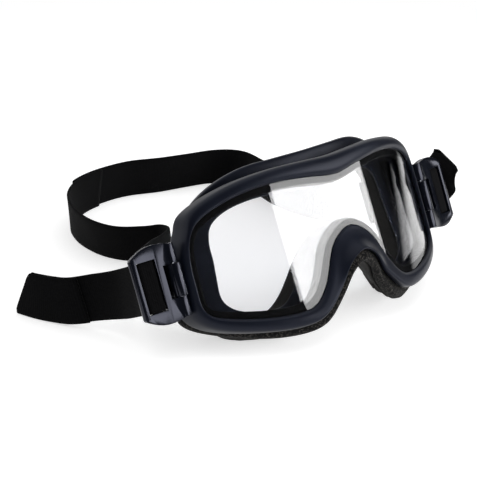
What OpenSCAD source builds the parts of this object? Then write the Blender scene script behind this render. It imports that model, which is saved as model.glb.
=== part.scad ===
// Firefighter goggles: a wide soft frame with a wrapped double lens, face foam,
// hinged strap outriggers at both temples and an elastic head strap lying behind.
// The goggles lean back on their lower foam edge, as they stand on a table.
// x is across the face, the lens front faces -y, z is up, and z = 0 is the table.

/* [Lens] */
// Half the width of the clear lens opening
lens_half_w = 78; // [74:1:82]
// Height of the opening's upper edge above the hinge line
lens_top = 30.2; // [27:0.2:33]
// How far the brow dips at the middle
brow_dip = 4.5; // [2:0.5:6]
// Depth of the opening's lower edge below the hinge line
lens_low = 34; // [31:0.2:37]
// Front radius of the wrapped lens
lens_r = 115.3; // [110:0.5:130]
// Thickness of the outer lens
outer_lens_t = 2; // [1.5:0.1:2.6]
// Thickness of the inner lens
inner_lens_t = 1.2; // [0.8:0.1:1.6]
// Air gap between the two lenses, filled by the spacer at the rim
lens_gap = 3.4; // [2.5:0.1:4.2]
// How far the lenses reach past the opening, under the rim
lens_margin = 1.7; // [1.2:0.1:2]
// Width of the spacer ring between the lenses
spacer_w = 5.6; // [4:0.2:7]

/* [Frame] */
// How far the rim stands proud of the lens
rim_proud = 2.5; // [1.5:0.1:3.5]
// How far the lip flares forward over the nose
lip_flare = 8; // [6:0.2:9]
// Depth of the front rim behind the lens front
rim_d = 8.6; // [8.2:0.1:9.4]
// Depth of the vent groove round the frame
groove_deep = 3.3; // [2.4:0.1:3.6]
// Front to back length of the vent groove
groove_len = 8.8; // [7.5:0.1:10]
// Thickness of the rear flange at the brow
flange_t = 5.6; // [4.6:0.1:6.4]
// Thickness of the rear flange below the lens
low_flange_t = 2; // [1.6:0.1:3]
// How far the brow flange stands above the rim
brow_flange = 5.3; // [3.5:0.1:6.5]
// Thickness of the inner web behind the lens
web_t = 1.8; // [1.4:0.1:2.4]
// Length of one vent slot
vent_l = 9; // [6:0.5:11]
// Width of one vent slot
vent_w = 3.4; // [2.4:0.1:4.4]
// Spacing of the vent slots across the brow
vent_pitch = 15; // [13:0.5:17]

/* [Foam] */
// Depth of the whole frame and foam behind the lens front, at the brow
face_d = 36; // [33:0.5:38]
// How much less deep the foam is over the nose
nose_relief = 14; // [10:0.5:16]
// Radius of the face side across the head
face_r = 130; // [120:1:150]
// How far the vent filter shows below the rim
filter_show = 4.4; // [3:0.1:5]
// Thickness of the fabric facing on the foam
facing_t = 0.9; // [0.6:0.1:1.4]

/* [Hinge] */
// Distance of a hinge axis from the middle
hinge_x = 85.6; // [85.5:0.1:87]
// Distance of a hinge axis behind the lens front
hinge_y = 33.2; // [32:0.1:35]
// Height of a hinge's middle above the lens's middle line
hinge_z = -1.7; // [-2.5:0.1:0]
// Radius of the hinge knuckles
knuckle_r = 3.1; // [2.8:0.1:3.2]
// Height of the middle knuckle
mid_knuckle_h = 16.4; // [13:0.2:18]
// Radius of the hinge pin
pin_r = 1.3; // [1:0.05:1.5]
// Height of an outrigger at its hinge
outrigger_h = 36; // [33:0.5:38]
// Angle that an outrigger is swept back at rest
sweep = 14; // [8:1:18]

/* [Outrigger] */
// Reach of an outrigger from its hinge axis
reach = 21; // [20.4:0.1:23]
// Thickness of the outrigger plate
plate_t = 3.6; // [3:0.1:4]
// Width of each strap slot
slot_w = 2.3; // [2.1:0.1:2.6]
// Distance of the inner slot from the hinge axis
slot_u = 10; // [9.6:0.1:10.4]
// Width of the bar between the slots
bar_w = 5.1; // [4.5:0.1:5.6]

/* [Strap] */
// Width of the elastic strap
strap_w = 25; // [23:0.5:26]
// Thickness of the elastic strap
strap_t = 1.5; // [1.2:0.1:1.8]
// Length of the sewn hem at the left strap end
hem_l = 38.5; // [25:0.5:42]
// How much shorter the upper edge of a cut strap end is
end_slant = 10.6; // [4:0.5:12]

// How far the strap loop reaches behind the lens front as it lies
loop_depth = 214; // [204:1:222]
// Width of the strap loop as it lies
loop_width = 131.5; // [127:0.5:136]

/* [Stand] */
// Angle that the goggles lean back as they stand
lean = 24.5; // [22:0.1:26]
// Height of the hinge line's foot above the table
stand_h = 54; // [53:0.5:58]

/* [Hidden] */

// Middle of the footprint, which becomes the origin
mid_x = 0.82;
mid_y = 100.31;

fit = 0.15; // clearance of parts that sit in the frame
run = 0.05; // clearance of the turning pin
seat = 0.3; // clearance of soft parts
span_steps = 4; // points in each span of an outline
ring_steps = 4; // rings in each span of the strap
slant_steps = 3 * ring_steps; // rings over which a slanted strap end draws back
eps = 0.01;
tall = 140; // taller and deeper than the lens

navy = "#23262f";
black = "#0b0b0d";

// Depths behind the lens front, at the middle of the brow
groove_d = rim_d;
flange_d = rim_d + groove_len;
lens_back_d = outer_lens_t + lens_gap + inner_lens_t;
ledge_d = lens_back_d + fit;

// How much further forward parts lie over the nose, behind the flared lip
lip_back = -lip_flare - 5.3;
groove_front = -lip_flare - 3.2;
flange_shift = -lip_flare - 8.2;
strip_front = -lip_flare - 6.9;
strip_back = -lip_flare - 9.7;
web_shift = -8;

// Station weights round half the outline, from the brow to the nose:
// how much a station belongs to the lower edge, to the nose, to its flared lip and to
// the stretch where the foam wraps the flange
low_w = [0, 0, 0, 0, 0, 0, 0.15, 0.4, 0.75, 1, 1, 1, 1, 1, 1, 1];
nose_w = [0, 0, 0, 0, 0, 0, 0, 0, 0, 0, 0, 0.08, 0.37, 0.6, 0.88, 1];
lip_w = [0, 0, 0, 0, 0, 0, 0, 0, 0, 0, 0, 0.05, 0.22, 0.32, 0.78, 1];
wrap_w = [0, 0, 0, 0, 0, 0, 0, 0, 0, 0, 1, 1, 1, 1, 1, 1];

// Half outlines as x and z at sixteen stations, from the brow round to the nose
w = lens_half_w;
opening = [[0, lens_top - brow_dip], [0.224 * w, lens_top - 0.42 * brow_dip],
    [0.468 * w, lens_top], [0.699 * w, lens_top - 1.5], [w - 8.5, lens_top - 7],
    [w - 2.2, lens_top - 14.7], [w - 0.2, 5], [w + 0.2, -8], [w - 0.6, 13.5 - lens_low],
    [w - 7.5, 7.5 - lens_low], [w - 25.7, 1.8 - lens_low], [36, -lens_low],
    [27.5, 3 - lens_low], [20.3, -21.8], [12.5, -7.2], [0, -0.3]];
rim = [[0, lens_top + 5.8], [0.224 * w, lens_top + 6.6], [0.474 * w, lens_top + 7.1],
    [0.724 * w, lens_top + 4.9], [w - 5.4, lens_top - 1.8], [w - 0.9, lens_top - 10.8],
    [w + 3.3, 6.2], [w + 4, -9], [w + 3.8, 11.7 - lens_low], [w - 4, 2.4 - lens_low],
    [w - 22, -4.4 - lens_low], [38.5, -7.4 - lens_low], [27, -5.2 - lens_low], [15.6, -29],
    [8.6, -18.4], [0, -13.8]];
flange = [[0, lens_top + 5.8 + brow_flange], [0.23 * w, lens_top + 6 + brow_flange],
    [0.474 * w, lens_top + 5.8 + brow_flange], [0.692 * w, lens_top + 0.8 + brow_flange],
    [w - 12.5, lens_top - 2.6], [w - 5.6, lens_top - 13], [w - 1.6, 6], [w - 0.5, -8],
    [w - 0.6, 12.4 - lens_low], [w - 7.4, 3.4 - lens_low], [w - 23.5, -3.5 - lens_low],
    [38, -6.2 - lens_low], [27.5, -3.6 - lens_low], [16.5, -29], [9, -18.6], [0, -14.4]];
eye_opening = [[0, lens_top - 8.6], [17, lens_top - 6.4], [34, lens_top - 5.6],
    [w - 31, lens_top - 7.4], [w - 22.6, lens_top - 12.2], [w - 19.8, 10], [w - 19.3, 1],
    [w - 18.2, -8], [w - 17.4, 15.4 - lens_low], [w - 22, 8.4 - lens_low],
    [w - 32.5, 4.2 - lens_low], [36, 3.9 - lens_low], [31, 8.8 - lens_low],
    [25.5, -16.5], [16.5, -2.6], [0, 4]];
filter_out = concat([for (i = [0:7]) rim[i]], [[w + 3.4, 11.4 - lens_low],
    [w - 3.3, 2.7 - lens_low], [w - 22.3, 2 - lens_low - 2 * filter_show],
    [38, -lens_low - 2.6 * filter_show], [24, -lens_low - 2.3 * filter_show],
    [12.6, -28.4 - filter_show], [7.2, -19.4 - filter_show], [0, -14.8 - filter_show]]);

// The foam is inset at the temples, and at the nose it widens towards the face
foam_front = concat([for (i = [0:8]) grow(flange, -0.8)[i]], [grow(flange, 1.4)[9]],
    [for (i = [10:15]) grow(filter_out, -0.8)[i]]);
foam_step = concat([for (i = [0:9]) grow(foam_front, -1.4)[i]],
    [for (i = [10:15]) grow(flange, 0.5)[i]]);
foam_back = concat([for (i = [0:2]) grow(flange, -2.4 - i)[i]],
    [for (i = [3:8]) grow(flange, -5.4)[i]], [[w - 10.5, 4.6 - lens_low],
    [w - 22, -7.6 - lens_low], [40, -9.6 - lens_low], [34.5, -5 - lens_low], [22.5, -28],
    [12.8, -16.2], [0, -11.6]]);

// Outline helpers
function full(h) = concat(h, [for (i = [len(h) - 2:-1:1]) [-h[i].x, h[i].y]]);
function grow(h, g) = let (p = full(h), n = len(p)) [for (i = [0:len(h) - 1])
    let (t = p[(i + 1) % n] - p[(i + n - 1) % n]) h[i] + g / norm(t) * [-t.y, t.x]];
function mix(a, b, t) = a * (1 - t) + b * t;
function weighted(h) = [for (i = [0:len(h) - 1])
    [h[i].x, h[i].y, low_w[i], nose_w[i], lip_w[i], wrap_w[i]]];
function mirrored(g) = concat([-g.x], [for (i = [1:len(g) - 1]) g[i]]);
function curve(a, b, c, d, t) = 0.5 * (2 * b + (c - a) * t + (2 * a - 5 * b + 4 * c - d) * t * t
    + (3 * b - a - 3 * c + d) * t * t * t);
function around(h) = let (g = weighted(h),
        p = concat(g, [for (i = [len(g) - 2:-1:1]) mirrored(g[i])]),
        n = len(p))
    [for (i = [0:n - 1], k = [0:span_steps - 1])
        curve(p[(i + n - 1) % n], p[i], p[(i + 1) % n], p[(i + 2) % n], k / span_steps)];

// Place of a point at a depth behind the wrapped lens front: the rim follows the
// lens, and the depth then blends into the flatter curve of the face
function lens_y(x, d) = lens_r - sqrt((lens_r - d) * (lens_r - d) - x * x);
function face_y(x) = face_d + face_r - sqrt(face_r * face_r - x * x);
function deep_y(x, d) = d <= lens_back_d ? lens_y(x, d)
    : lens_y(x, lens_back_d)
    + (d - lens_back_d) / (face_d - lens_back_d) * (face_y(x) - lens_y(x, lens_back_d));

// One rail of a ring: an outline at a depth, with a shift for each of the weights
function rail(h, d, low = 0, nose = 0, lip = 0, wrap = 0) = [for (p = around(h))
    [p.x, deep_y(p.x, d + low * p[2] + nose * p[3] + lip * p[4] + wrap * p[5]), p.y]];

// Closed ring whose section runs through the rails in turn. Flip turns the diagonals of
// its faces, so that a ring can lie flush on another one
module ring(rails, flip = false) {
    n = len(rails[0]);
    m = len(rails);
    polyhedron(
        points = [for (r = rails, p = r) p],
        faces = [for (j = [0:m - 1], i = [0:n - 1], s = [0, 1])
            let (a = j * n + i, b = j * n + (i + 1) % n,
                c = ((j + 1) % m) * n + i, d = ((j + 1) % m) * n + (i + 1) % n)
            flip ? (s == 0 ? [a, c, d] : [a, d, b]) : (s == 0 ? [a, c, b] : [b, c, d])],
        convexity = 12);
}

// Open length of such a ring, from point a to point b round the outline, with flat ends
module ring_part(rails, a, b) {
    n = len(rails[0]);
    m = len(rails);
    k = b - a + 1;
    polyhedron(
        points = [for (r = rails, i = [a:b]) r[i % n]],
        faces = concat(
            [for (j = [0:m - 1], i = [0:k - 2], s = [0, 1])
                let (p = j * k + i, q = j * k + i + 1,
                    u = ((j + 1) % m) * k + i, v = ((j + 1) % m) * k + i + 1)
                s == 0 ? [p, u, q] : [q, u, v]],
            [for (j = [1:m - 2]) [0, (j + 1) * k, j * k]],
            [for (j = [1:m - 2]) [k - 1, j * k + k - 1, (j + 1) * k + k - 1]]),
        convexity = 8);
}

// The goggles' own frame leans back and stands on the table
module stand() translate([-mid_x, -mid_y, stand_h]) rotate([-lean, 0, 0]) children();
module side(s) mirror([s > 0 ? 0 : 1, 0, 0]) children();

// Boxes that cut the vent slots through the wall between lens and groove
module vent_cuts() {
    for (s = [-1, 1], k = [0:2]) {
        x = (k + 0.5) * vent_pitch;
        translate([s * x, deep_y(x, groove_d + groove_len / 2), lens_top + 2 - 3 * k / 10])
            cube([vent_l, vent_w, 9], center = true);
    }
    for (s = [-1, 1], k = [0, 1]) {
        x = 44 + k * vent_pitch;
        translate([s * x, deep_y(x, groove_d + groove_len / 2), 3.4 * k - lens_low - 2.2])
            rotate([0, -s * 14, 0]) cube([vent_l, vent_w, 9], center = true);
    }
}

// Soft moulded frame: proud rim, lens pocket, vent groove and rear flange
module frame_shell() {
    pocket = grow(opening, lens_margin + fit);
    wall = grow(opening, -1.2);
    groove = grow(rim, -groove_deep);
    low = low_flange_t - flange_t;
    color(navy) stand() difference() {
        ring([
            rail(opening, -0.9),
            rail(mix(opening, rim, 0.22), 0.2 - rim_proud, lip = 0.11 * lip_flare),
            rail(mix(opening, rim, 0.55), -rim_proud, lip = -0.06 * lip_flare),
            rail(mix(opening, rim, 0.88), 1.3 - rim_proud, lip = -0.6 * lip_flare),
            rail(rim, 1, lip = -lip_flare),
            rail(rim, rim_d - 0.5, 0, lip_back),
            rail(groove, groove_d, 0, groove_front),
            rail(groove, flange_d, 0, flange_shift),
            rail(flange, flange_d + 0.3, 0, flange_shift),
            rail(flange, flange_d + flange_t - 1.5, low + 1, flange_shift),
            rail(grow(flange, -1.3), flange_d + flange_t, low, flange_shift),
            rail(eye_opening, flange_d + flange_t, low, web_shift),
            rail(eye_opening, flange_d + flange_t - web_t, low, web_shift),
            rail(wall, flange_d + flange_t - web_t - 1.4, low, web_shift),
            rail(wall, ledge_d),
            rail(pocket, ledge_d),
            rail(pocket, -fit),
            rail(opening, -fit)]);
        vent_cuts();
    }
}

// A wrapped sheet of lens between two depths, cut to the opening and its margin
module lens_sheet(d0, d1, grow_by) {
    intersection() {
        translate([0, lens_r, -tall / 2]) difference() {
            cylinder(h = tall, r = lens_r - d0, $fn = 180);
            translate([0, 0, -1]) cylinder(h = tall + 2, r = lens_r - d1, $fn = 180);
        }
        translate([0, tall / 2, 0]) rotate([90, 0, 0]) linear_extrude(height = tall)
            polygon([for (p = around(grow(opening, grow_by))) [p.x, p.y]]);
    }
}

module outer_lens() color("#c9d4dc", 0.3) stand() lens_sheet(0, outer_lens_t, lens_margin);

module inner_lens() color("#c9d4dc", 0.3) stand()
    lens_sheet(lens_back_d - inner_lens_t, lens_back_d, lens_margin);

// Black spacer ring that seals the gap between the lenses
module lens_spacer() {
    in = grow(opening, lens_margin - spacer_w);
    out = grow(opening, lens_margin - fit);
    front = outer_lens_t + fit;
    back = outer_lens_t + lens_gap - fit;
    color(black) stand() ring([rail(in, front), rail(out, front), rail(out, back), rail(in, back)]);
}

// Open-cell foam strips that cover the vents in the groove
module vent_filter_top() {
    in = grow(rim, 0.2 - groove_deep);
    out = grow(rim, -1.1);
    d0 = groove_d + seat;
    d1 = flange_d - seat;
    half = round(3.6 * span_steps);
    n = 30 * span_steps;
    color(black) stand() ring_part([rail(in, d0), rail(out, d0 + 0.5), rail(out, d1 - 0.5),
        rail(in, d1)], n - half, n + half);
}

module vent_filter_bottom() {
    in = grow(rim, 0.2 - groove_deep);
    inset = grow(filter_out, -1.2);
    d0 = groove_d + seat;
    d1 = flange_d - seat + 0.2;
    color(black) stand() ring_part([
        rail(in, d0, 0, groove_front),
        rail(inset, d0, 0, strip_front),
        rail(filter_out, d0 + 1.4, 0, strip_front),
        rail(filter_out, d1 - 1.2, 0, strip_back),
        rail(inset, d1, 0, strip_back),
        rail(in, d1, 0, flange_shift)],
        8 * span_steps, 22 * span_steps);
}

// The table, which cuts the foam flat where the goggles stand on it
module table() translate([-tall, -tall, -tall]) cube([2 * tall, 2 * tall, tall]);

// Face foam: round the flange's edge below, and behind it above
module face_foam() {
    low = low_flange_t - flange_t;
    d0 = flange_d + flange_t + seat;
    back = face_d - facing_t - seat;
    color(black) difference() {
        stand() ring([
            rail(foam_step, d0, low, flange_shift),
            rail(grow(foam_front, -0.7), d0, low, strip_back, wrap = -low_flange_t),
            rail(foam_front, d0 + 1.5, low, strip_back, wrap = -low_flange_t),
            rail(foam_back, back - 4, 0, -nose_relief),
            rail(grow(foam_back, -1.2), back - 1.2, 0, -nose_relief),
            rail(grow(foam_back, -2.6), back, 0, -nose_relief),
            rail(grow(eye_opening, 2.2), back, 0, -nose_relief),
            rail(grow(eye_opening, 1), back - 2.5, 0, -nose_relief),
            rail(grow(eye_opening, 1), d0, low, web_shift)]);
        table();
    }
}

// Thin fabric facing on the back of the foam
module face_lining() {
    out = grow(foam_back, -2.6);
    in = grow(eye_opening, 2.2);
    color("#2a2624") difference() {
        stand() ring([
            rail(out, face_d - facing_t, 0, -nose_relief),
            rail(out, face_d, 0, -nose_relief),
            rail(in, face_d, 0, -nose_relief),
            rail(in, face_d - facing_t, 0, -nose_relief)], flip = true);
        table();
    }
}

// Hinge parts are drawn on the right and mirrored to the left
arm_r = 0.4;
block_y0 = deep_y(w + 4.2, rim_d) + 0.4 - hinge_y; // seen from the hinge axis
block_y1 = deep_y(w + 0.7, flange_d) - 0.4 - hinge_y;
block_x0 = w + 4 - groove_deep + 3 * seat - hinge_x;
block_x1 = 2.4;
flare = 0.8; // how far the foot flares up along the frame
gap_z = 0.2; // between neighbouring knuckles

// Hard hinge base: a flared foot in the frame's groove, an arm, and the middle knuckle,
// which stands proud towards the front
module hinge_base(s) {
    foot = outrigger_h / 2 - 0.5;
    proud = 1.6;
    color(navy) hinge_frame(s) difference() {
        union() {
            translate([0, block_y1, 0]) rotate([90, 0, 0])
                linear_extrude(height = block_y1 - block_y0)
                polygon([[block_x0, 1 - foot], [block_x1, -foot], [block_x1, foot],
                    [block_x0 + 2, foot + flare], [block_x0, foot + flare]]);
            translate([0, 0, -mid_knuckle_h / 2]) linear_extrude(height = mid_knuckle_h)
                polygon([[-knuckle_r, 0], [arm_r, 0], [arm_r, block_y0 + 1],
                    [-knuckle_r, block_y0 + 1]]);
            translate([0, 0, -mid_knuckle_h / 2]) {
                cylinder(h = mid_knuckle_h, r = knuckle_r, $fn = 48);
                translate([-0.3, -proud, 0])
                    cylinder(h = mid_knuckle_h, r = knuckle_r - 0.3, $fn = 48);
            }
        }
        translate([0, 0, -mid_knuckle_h]) cylinder(h = 2 * mid_knuckle_h,
            r = pin_r + run, $fn = 32);
    }
}

module hinge_pin(s) color("silver") hinge_frame(s)
    translate([0, 0, 0.8 - outrigger_h / 2])
        cylinder(h = outrigger_h - 1.6, r = pin_r, $fn = 32);

// The hinge's own frame has its origin on the axis. In the outrigger's own frame, u runs
// out from the hinge axis and n points back
module hinge_frame(s) stand() side(s) translate([hinge_x, hinge_y, hinge_z]) children();
module outrigger_frame(s) hinge_frame(s) rotate([0, 0, sweep]) children();

plate_back = 1; // the plate's rear face, behind the hinge axis
slot_h = strap_w + 0.5;
window_gap = 2.6; // opening beside the middle knuckle
outer_slot_u = slot_u + slot_w + bar_w;

// Curved side view of the outrigger, u across and v up
function plate_edge() = let (h = outrigger_h / 2)
    concat([for (t = [0:0.125:1]) [reach * t, h + 1.6 * sin(180 * min(1, t * 1.05))
        - (outrigger_h / 2 - 15.2) * pow(t, 4)]]);

// Strap outrigger: outer knuckles, window for the middle one, and two strap slots
module outrigger(s) {
    top = plate_edge();
    shape = concat(top, [for (i = [len(top) - 1:-1:0]) [top[i].x, -top[i].y]]);
    win = mid_knuckle_h / 2 + gap_z;
    color(navy) outrigger_frame(s) difference() {
        union() {
            translate([0, plate_back, 0]) rotate([90, 0, 0]) linear_extrude(height = plate_t)
                polygon(shape);
            translate([0, 0, -outrigger_h / 2]) cylinder(h = outrigger_h, r = knuckle_r, $fn = 48);
            translate([reach - 1.3, plate_back - plate_t / 2, -14.6])
                cylinder(h = 29.2, r = plate_t / 2 + 0.3, $fn = 36);
        }
        translate([-10, -10, -win]) cube([knuckle_r + window_gap + 10, 20, 2 * win]);
        for (u = [slot_u, outer_slot_u])
            translate([u - slot_w / 2, -10, -slot_h / 2]) cube([slot_w, 20, slot_h]);
        translate([slot_u, -10, -slot_h / 2])
            cube([outer_slot_u - slot_u, 10 - 0.4, slot_h]);
        translate([0, 0, -outrigger_h / 2 - 1]) cylinder(h = outrigger_h + 2,
            r = pin_r + eps, $fn = 32);
    }
}

// The strap inside the outrigger: through the inner slot, over the bar, out again
wrap_n = -0.4 - strap_t / 2 - 0.1; // middle of the strap in front of the bar
wrap_end = 4; // how far behind the hinge axis the wrapped stretch ends
module strap_wrap(s) {
    h = strap_w;
    color(black) outrigger_frame(s) translate([0, 0, -h / 2]) linear_extrude(height = h) {
        translate([slot_u, wrap_n - strap_t / 2]) square([outer_slot_u - slot_u, strap_t]);
        for (u = [slot_u, outer_slot_u]) {
            translate([u, wrap_n]) circle(r = strap_t / 2, $fn = 24);
            translate([u - strap_t / 2, wrap_n]) square([strap_t, wrap_end - wrap_n]);
        }
    }
}

// Strap routes on the table: x, y and height of the strap's middle, its roll, and a
// shift sideways where it lies on another layer. A height of 0 rests on the table.
function slot_place(s, u) = let (c = cos(sweep), a = sin(sweep), n = wrap_end + 3 * seat,
        x = hinge_x + u * c - n * a, y = hinge_y + u * a + n * c)
    [s * x, y * cos(lean) + hinge_z * sin(lean),
        stand_h - y * sin(lean) + hinge_z * cos(lean), 0, 0];

// The stations below are drawn for one size of loop, and follow its named depth and
// width from loop_start back, so that the straps stay in the outriggers
drawn_depth = 214;
drawn_width = 131.5;
loop_start = 50;
loop_mid = 19; // middle of the loop across the table
function looped(p) = let (back = max(0, p.y - loop_start), f = min(1, back / 75))
    [p.x + f * (p.x - loop_mid) * (loop_width / drawn_width - 1),
        p.y + back * (loop_depth - drawn_depth) / (drawn_depth - loop_start), p.z, p[3], p[4]];

route = concat([slot_place(-1, slot_u)],
    [for (p = [[-hinge_x - 4.6, 49.5, 29.6, 0, 0], [-80, 67, 26.2, 0, 0],
    [-62, 82, 22.5, 0, 0], [-45, 92, 19, -3, 0], [-32.4, 101.6, 16.5, -8, 0],
    [-28.8, 113, 14.5, -14, 0], [-34.3, 123.4, 12.8, -18, 0],
    [-43.2, 134.4, 0, -20, 0], [-47.9, 147.2, 0, -18, 0], [-48, 161.2, 0, -14, 0],
    [-44.8, 176.6, 0, -8, 0], [-37.7, 191.5, 0, -2, 0], [-26, 203, 0, 3, 0],
    [-10.3, 210, 0, 8, 0], [6.7, 212.4, 0, 11, 0], [21.7, 211, 0, 12, 0],
    [38.9, 204.2, 0, 13, 0], [56, 199.8, 0, 15, 0], [71.4, 195.3, 0, 15, 0],
    [81.7, 187, 0, 13, 0], [85, 175, 0, 8, 0], [82, 158, 0, 3, 0], [79.5, 138, 0, 0, 0],
    [81, 115, 13.2, 0, 0], [85, 92, 16, 0, 0], [hinge_x + 3.8, 72, 21.2, 0, 0],
    [hinge_x + 7, 52, 28.4, 0, 0]]) looped(p)],
    [slot_place(1, slot_u)]);
rest_from = 8; // first and last stations that lie on the table
rest_to = 23;
lap_from = 13; // stations between which the two straps are sewn on each other
lap_to = 14.5;

tail_pitch = 11; // mean spacing of the tail's stations
left_tail = concat([slot_place(-1, outer_slot_u)],
    [[-hinge_x - 13.2, 47, 30, 0, 0], [-97.5, 61, 23, 0, 0], [-101, 74, 18.2, 0, 0],
    [-108, 86.4, 14.2, 0, 0], [-112, 95.3, 13, 0, 0], [-116.5, 106.3, 12.6, 0, 0],
    [-120.1, 118.8, 12.6, 0, 0]]);
right_tail = concat([slot_place(1, outer_slot_u)],
    [[hinge_x + 16.6, 42.6, 33, 0, 0], [110.1, 47.6, 31.7, -20, 0],
    [116.3, 48.3, 34.8, -39, 0], [119.8, 44.4, 48.7, -50, 0]]);

function rest_z(roll) = strap_w / 2 * cos(roll) + strap_t / 2 * abs(sin(roll));
function settled(r) = [for (p = r) [p.x, p.y, p.z == 0 ? rest_z(p[3]) : p.z, p[3], p[4]]];
function sampled(r) = let (q = settled(r), n = len(q) - 1)
    concat([for (i = [0:n - 1], k = [0:ring_steps - 1])
        curve(q[max(0, i - 1)], q[i], q[i + 1], q[min(n, i + 2)], k / ring_steps)], [q[n]]);

// Corners lowered or raised so that the lowest one lies on the table
function dropped(c) = let (low = min([for (p = c) p.z])) [for (p = c) p - [0, 0, low]];

// Four corners of the strap at sample i of a sampled route
function corners(q, i, shift, slant) = let (n = len(q) - 1,
        a = q[max(0, i - 1)], b = q[min(n, i + 1)], d = [b.x - a.x, b.y - a.y, b.z - a.z],
        t = d / norm(d), across = cross(t, [0, 0, 1]) / norm(cross(t, [0, 0, 1])),
        up = cross(across, t) * cos(q[i][3]) + across * sin(q[i][3]),
        face = cross(t, up), m = [q[i].x, q[i].y, q[i].z] + face * (shift + q[i][4]))
    [for (c = [[1, 1], [1, -1], [-1, -1], [-1, 1]])
        m + up * (c[0] * strap_w / 2) + face * (c[1] * strap_t / 2)
            - t * (c[0] > 0 ? slant : 0)];

// Strap along samples a to b of a route
module strap(q, a, b, shift = 0, slant = 0, rests = false) {
    k = b - a + 1;
    pts = [for (i = [a:b])
        let (c = corners(q, i, shift, slant * pow(max(0, 1 - (b - i) / slant_steps), 3)))
        for (p = rests ? dropped(c) : c) p];
    color(black) translate([-mid_x, -mid_y, 0]) polyhedron(points = pts,
        faces = concat(
            [for (i = [0:k - 2], j = [0:3], s = [0, 1])
                let (p = 4 * i + j, r = 4 * i + (j + 1) % 4)
                s == 0 ? [p, r, p + 4] : [r, r + 4, p + 4]],
            [[0, 3, 1], [1, 3, 2]],
            [[4 * k - 4, 4 * k - 3, 4 * k - 1], [4 * k - 3, 4 * k - 2, 4 * k - 1]]),
        convexity = 10);
}

loop_path = sampled(route);
left_tail_path = sampled(left_tail);
right_tail_path = sampled(right_tail);
lap_shift = strap_t + 0.1;
loop_end = len(loop_path) - 1;

module strap_side_left() strap(loop_path, 0, rest_from * ring_steps);
module strap_side_right() strap(loop_path, rest_to * ring_steps, loop_end);

// The left strap runs on to the lap, where it lies inside the right one
module strap_back_left() {
    last = lap_to * ring_steps;
    ramp = 3 * ring_steps;
    q = [for (i = [0:loop_end]) let (p = loop_path[i],
            f = min(1, max(0, (i - (lap_from * ring_steps - ramp)) / ramp)))
        [p.x, p.y, p.z, p[3], lap_shift * f * f * (3 - 2 * f)]];
    strap(q, rest_from * ring_steps, last, rests = true);
}
module strap_back_right()
    strap(loop_path, lap_from * ring_steps, rest_to * ring_steps, rests = true);

module strap_tail_left() strap(left_tail_path, 0, len(left_tail_path) - 1, slant = end_slant);
module strap_tail_right() strap(right_tail_path, 0, len(right_tail_path) - 1);

// The folded and sewn hem lies on the outer face of the left strap end
module strap_hem_left() {
    last = len(left_tail_path) - 1;
    strap(left_tail_path, last - round(hem_l / tail_pitch * ring_steps), last,
        shift = -lap_shift, slant = end_slant);
}

frame_shell();
outer_lens();
lens_spacer();
inner_lens();
vent_filter_top();
vent_filter_bottom();
face_foam();
face_lining();
hinge_base(-1);  // hinge_base_left
hinge_base(1);  // hinge_base_right
hinge_pin(-1);  // hinge_pin_left
hinge_pin(1);  // hinge_pin_right
outrigger(-1);  // outrigger_left
outrigger(1);  // outrigger_right
strap_wrap(-1);  // strap_wrap_left
strap_wrap(1);  // strap_wrap_right
strap_side_left();
strap_side_right();
strap_back_left();
strap_back_right();
strap_tail_left();
strap_tail_right();
strap_hem_left();
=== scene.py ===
"""Looks of a pair of full-seal firefighter goggles with an elastic head strap.

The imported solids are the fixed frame. The soft moulded frame, the lenses, the foam,
the outriggers and the strap are built again here from the same sizes, with finer
curves, rounded edges and the finish of their real materials.
"""
import logging
import math
from dataclasses import dataclass, field
from enum import Enum
from typing import Callable, Protocol, Sequence

import bmesh
import bpy
import numpy as np
from mathutils import Matrix, Vector


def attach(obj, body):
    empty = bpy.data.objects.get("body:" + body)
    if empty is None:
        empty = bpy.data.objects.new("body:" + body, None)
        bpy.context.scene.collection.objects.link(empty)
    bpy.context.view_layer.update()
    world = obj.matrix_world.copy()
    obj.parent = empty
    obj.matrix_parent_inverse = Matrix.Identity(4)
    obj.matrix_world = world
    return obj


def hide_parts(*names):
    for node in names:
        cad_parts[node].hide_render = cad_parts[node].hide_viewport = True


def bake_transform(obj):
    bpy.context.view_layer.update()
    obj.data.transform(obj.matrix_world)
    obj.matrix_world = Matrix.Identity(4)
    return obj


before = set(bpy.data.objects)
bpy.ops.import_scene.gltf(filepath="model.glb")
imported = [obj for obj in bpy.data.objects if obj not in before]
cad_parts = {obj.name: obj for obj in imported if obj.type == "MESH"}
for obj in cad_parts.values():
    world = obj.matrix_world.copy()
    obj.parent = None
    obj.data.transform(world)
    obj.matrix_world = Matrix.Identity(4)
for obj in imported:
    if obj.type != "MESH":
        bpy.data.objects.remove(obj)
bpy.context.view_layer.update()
log = logging.getLogger("goggles")
MM = 0.001


# Finishes

def linear(code: str, alpha: float = 1.0) -> tuple[float, float, float, float]:
    """Turn an sRGB hex colour to linear light.

    Args:
        code: The colour as "#rrggbb".
        alpha: Its opacity.

    Returns:
        Red, green, blue and alpha as shader values.
    """
    parts = [int(code[i:i + 2], 16) / 255 for i in (1, 3, 5)]
    return (*[p / 12.92 if p <= 0.04045 else ((p + 0.055) / 1.055) ** 2.4 for p in parts], alpha)


def noise_scale(size_mm: float) -> float:
    """Return the scale at which a noise or a cell texture repeats at a size in mm."""
    return 1 / (size_mm * MM)


def wave_scale(pitch_mm: float) -> float:
    """Return the scale at which a wave texture's bands repeat at a pitch in mm."""
    return math.pi / 10 / (pitch_mm * MM)


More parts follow.
